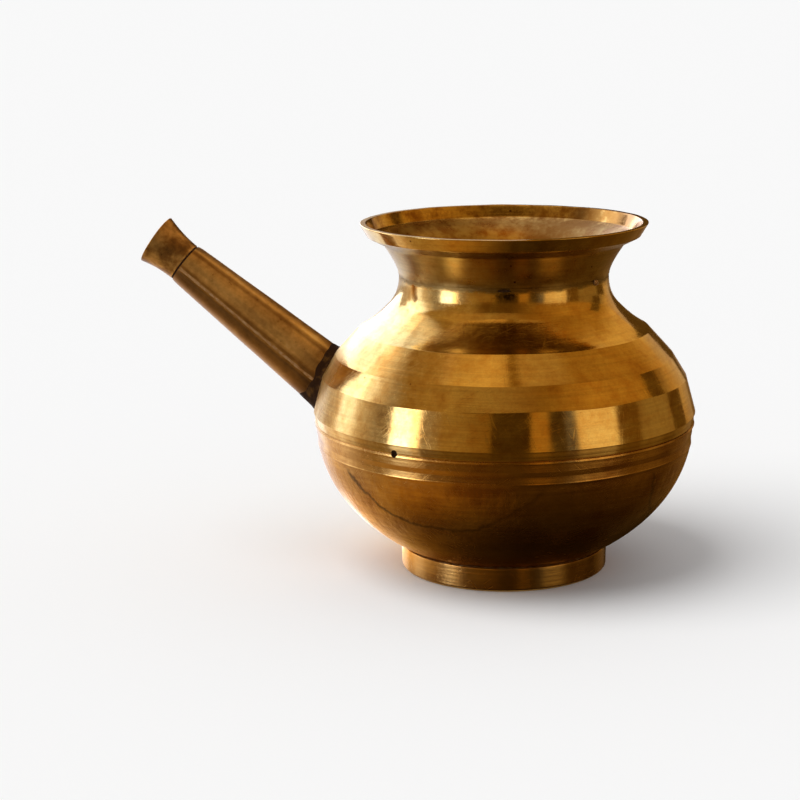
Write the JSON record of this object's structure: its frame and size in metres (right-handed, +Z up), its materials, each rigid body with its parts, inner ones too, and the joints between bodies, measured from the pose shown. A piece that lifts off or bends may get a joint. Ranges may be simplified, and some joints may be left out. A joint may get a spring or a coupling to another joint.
{
  "type": "karwa lota",
  "caption": "Brass karwa lota: a round-bellied water pot with turned bands, a flared neck, a foot ring and a straight slanting spout.",
  "frame": {"origin": "on the table, under the middle of the pot and spout together", "axes": "+Z up, -X along the way the spout points, +Y to the side away from the viewer when the spout points left"},
  "size_m": [0.1602, 0.1092, 0.1],
  "materials": {
    "turned_brass": "lathe-turned and hand polished, bright",
    "toned_brass": "polished, toned brown with age",
    "rolled_brass": "rolled sheet, satin and brown",
    "braze": "brazing spelter, rough",
    "solder": "solder with burnt flux, dark and matt"
  },
  "bodies": {
    "root": {"neck_collar": "turned_brass", "neck_braze": "braze", "shoulder_shell": "turned_brass", "belly_braze": "braze", "bowl_shell": "toned_brass", "foot_braze": "braze", "foot_ring": "toned_brass", "spout_tube": "rolled_brass", "spout_seam_braze": "braze", "spout_root_solder": "solder", "spout_lip_braze": "solder", "spout_lip": "rolled_brass"}
  },
  "joints": []
}
